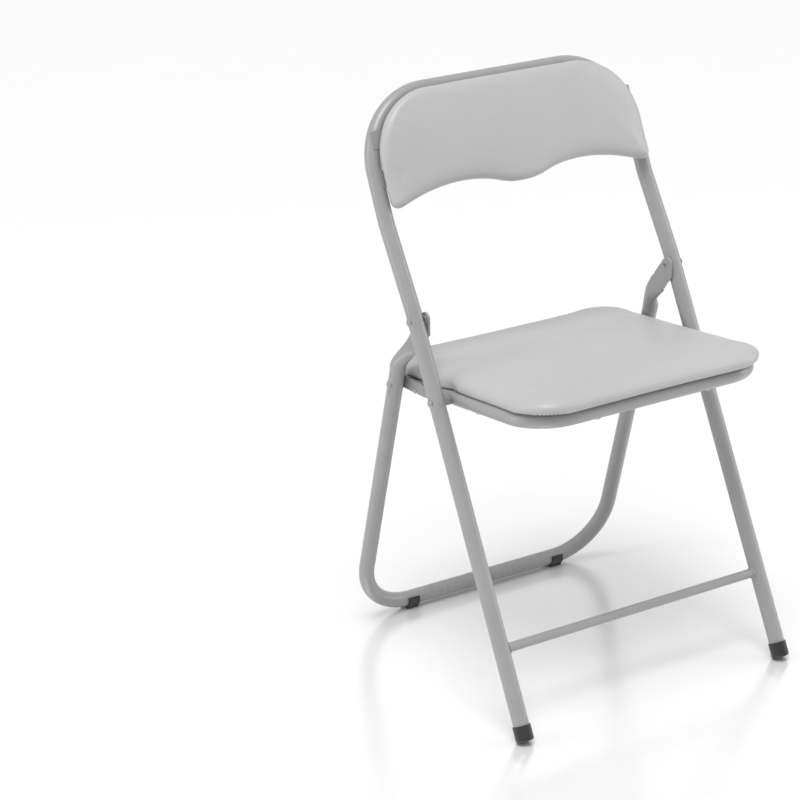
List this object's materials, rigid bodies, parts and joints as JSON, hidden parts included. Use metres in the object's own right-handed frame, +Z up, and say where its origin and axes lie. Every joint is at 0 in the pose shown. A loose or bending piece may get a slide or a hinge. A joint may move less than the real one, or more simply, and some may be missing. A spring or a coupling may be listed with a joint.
{
  "type": "folding chair",
  "caption": "Folding chair with bent steel tube frames, a tube-framed padded vinyl seat that folds through side links, and a padded vinyl backrest.",
  "frame": {"origin": "on the floor at the middle of the open chair's footprint", "axes": "+Z up, the chair faces -Y, +X across its width"},
  "size_m": [0.4598, 0.4426, 0.7925],
  "materials": {
    "frame_paint": "satin powder coat",
    "link_paint": "satin powder coat on stamped steel",
    "rivet_steel": "semi-gloss, lightly worn",
    "zinc_screw": "zinc plated",
    "foot_plastic": "moulded, slightly satin",
    "bush_plastic": "moulded nylon",
    "vinyl": "leather-grain vinyl, low sheen",
    "foam": "open-cell foam",
    "plywood": "raw plywood",
    "lining": "smooth backing sheet"
  },
  "bodies": {
    "front_frame": {"front_frame": "frame_paint", "front_stretcher": "frame_paint", "stretcher_welds": "frame_paint", "left_foot_cap": "foot_plastic", "right_foot_cap": "foot_plastic", "upper_pivot_rivets": "rivet_steel", "upper_pivot_washers": "bush_plastic", "seat_pivot_rivets": "rivet_steel", "seat_pivot_bushes": "bush_plastic", "back_board": "plywood", "back_foam": "foam", "back_cover": "vinyl", "back_lining": "vinyl", "back_tabs": "frame_paint", "back_screws": "zinc_screw"},
    "rear_frame": {"rear_frame": "frame_paint", "left_rear_glide": "foot_plastic", "right_rear_glide": "foot_plastic", "link_pivot_rivets": "rivet_steel"},
    "seat": {"seat_frame": "frame_paint", "seat_frame_sleeve": "zinc_screw", "seat_board": "plywood", "seat_foam": "foam", "seat_cover": "vinyl", "seat_lining": "lining", "seat_screws": "zinc_screw", "stop_pins": "rivet_steel", "link_hinge_rivets": "rivet_steel", "link_hinge_washers": "bush_plastic"},
    "left_link": {"left_link": "link_paint", "left_link_stud": "rivet_steel"},
    "right_link": {"right_link": "link_paint", "right_link_stud": "rivet_steel"}
  },
  "joints": [
    {"name": "fold", "type": "hinge", "parent": "front_frame", "child": "rear_frame", "pos_m": [0, 0.05647, 0.50803], "axis": [1, 0, 0], "range_deg": [-42.37, 0]},
    {"name": "seat_fold", "type": "hinge", "parent": "front_frame", "child": "seat", "pos_m": [0, 0.00472, 0.41063], "axis": [1, 0, 0], "range_deg": [-110.6, 0]},
    {"name": "left_link_hinge", "type": "hinge", "parent": "seat", "child": "left_link", "pos_m": [-0.19945, 0.05661, 0.40389], "axis": [1, 0, 0], "range_deg": [0, 146.35]},
    {"name": "right_link_hinge", "type": "hinge", "parent": "seat", "child": "right_link", "pos_m": [0.19945, 0.05661, 0.40389], "axis": [1, 0, 0], "range_deg": [0, 146.35]}
  ],
  "couplings": [
    {"joint": "seat_fold", "follows": "fold", "ratio": 2.6102},
    {"joint": "left_link_hinge", "follows": "fold", "ratio": -3.4539},
    {"joint": "right_link_hinge", "follows": "fold", "ratio": -3.4539}
  ]
}
